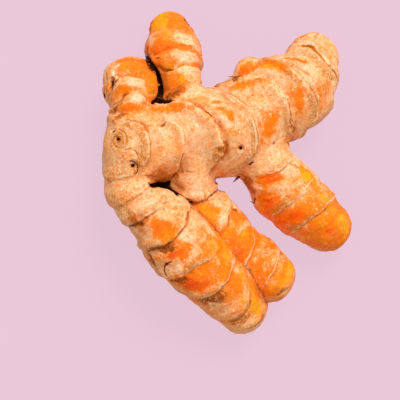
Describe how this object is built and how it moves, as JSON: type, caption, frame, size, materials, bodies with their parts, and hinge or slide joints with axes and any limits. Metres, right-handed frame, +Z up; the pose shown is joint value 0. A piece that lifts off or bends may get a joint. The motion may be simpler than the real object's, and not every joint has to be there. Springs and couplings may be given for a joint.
{
  "type": "turmeric root",
  "caption": "Fresh turmeric rhizome: a thick knobbly trunk with blunt fingers, ringed by leaf scars, lying on its belly and finger tips.",
  "frame": {"origin": "middle of the footprint, on the plane that the rhizome lies on", "axes": "+Z up from the resting plane; +Y from the tips of the two long fingers to the tip of the tall finger; +X towards the blunt end of the trunk"},
  "size_m": [0.089, 0.116, 0.0345],
  "materials": {
    "turmeric_skin": "thin peach to tan skin over orange flesh, scraped to bright orange in places, brown at the ring scars, slightly waxy"
  },
  "bodies": {
    "root": {"turmeric_root": "turmeric_skin"}
  },
  "joints": []
}
